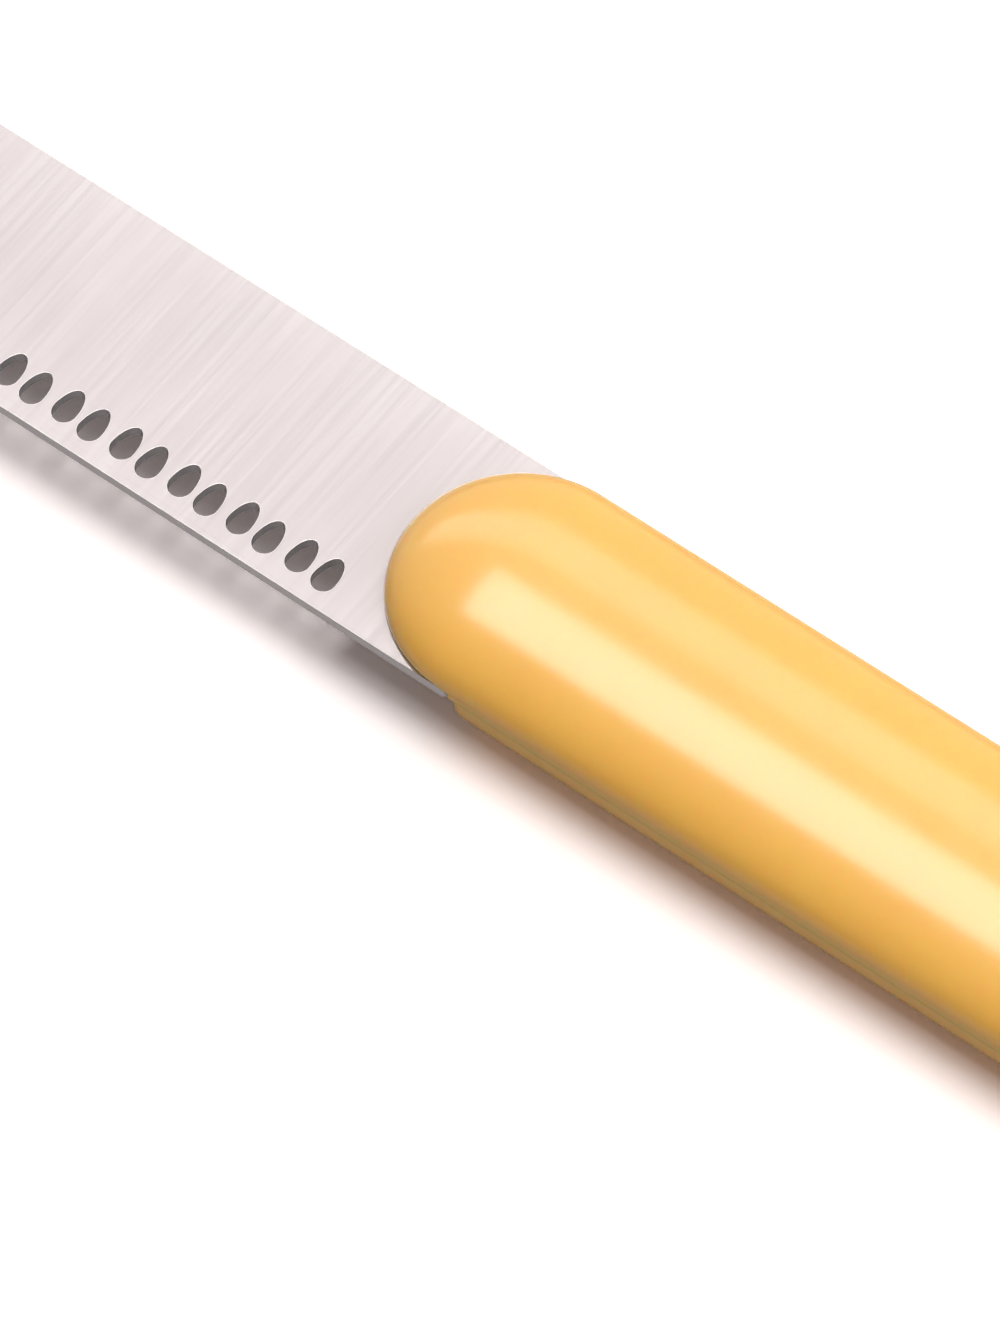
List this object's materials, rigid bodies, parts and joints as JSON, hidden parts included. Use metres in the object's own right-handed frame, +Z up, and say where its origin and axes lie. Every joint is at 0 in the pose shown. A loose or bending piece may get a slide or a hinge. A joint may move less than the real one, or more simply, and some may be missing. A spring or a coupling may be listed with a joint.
{
  "type": "butter knife",
  "caption": "Butter knife with a flat round-tipped steel blade, a row of egg-shaped holes along one edge for drawing butter curls, and a smooth rounded plastic handle.",
  "frame": {"origin": "on the table under the middle of the knife's length and width, with the knife lying on the flat of its handle", "axes": "+X from the blade's tip to the end of the handle, +Y from the holed edge to the plain edge, +Z up from the handle's flat belly to its crown"},
  "size_m": [0.208, 0.0246, 0.0122],
  "materials": {
    "blade_steel": "stainless steel sheet, finely brushed across the blade",
    "handle_plastic": "injection moulded, yellow, glossy"
  },
  "bodies": {
    "root": {"blade": "blade_steel", "handle_upper_shell": "handle_plastic", "handle_lower_shell": "handle_plastic"}
  },
  "joints": []
}
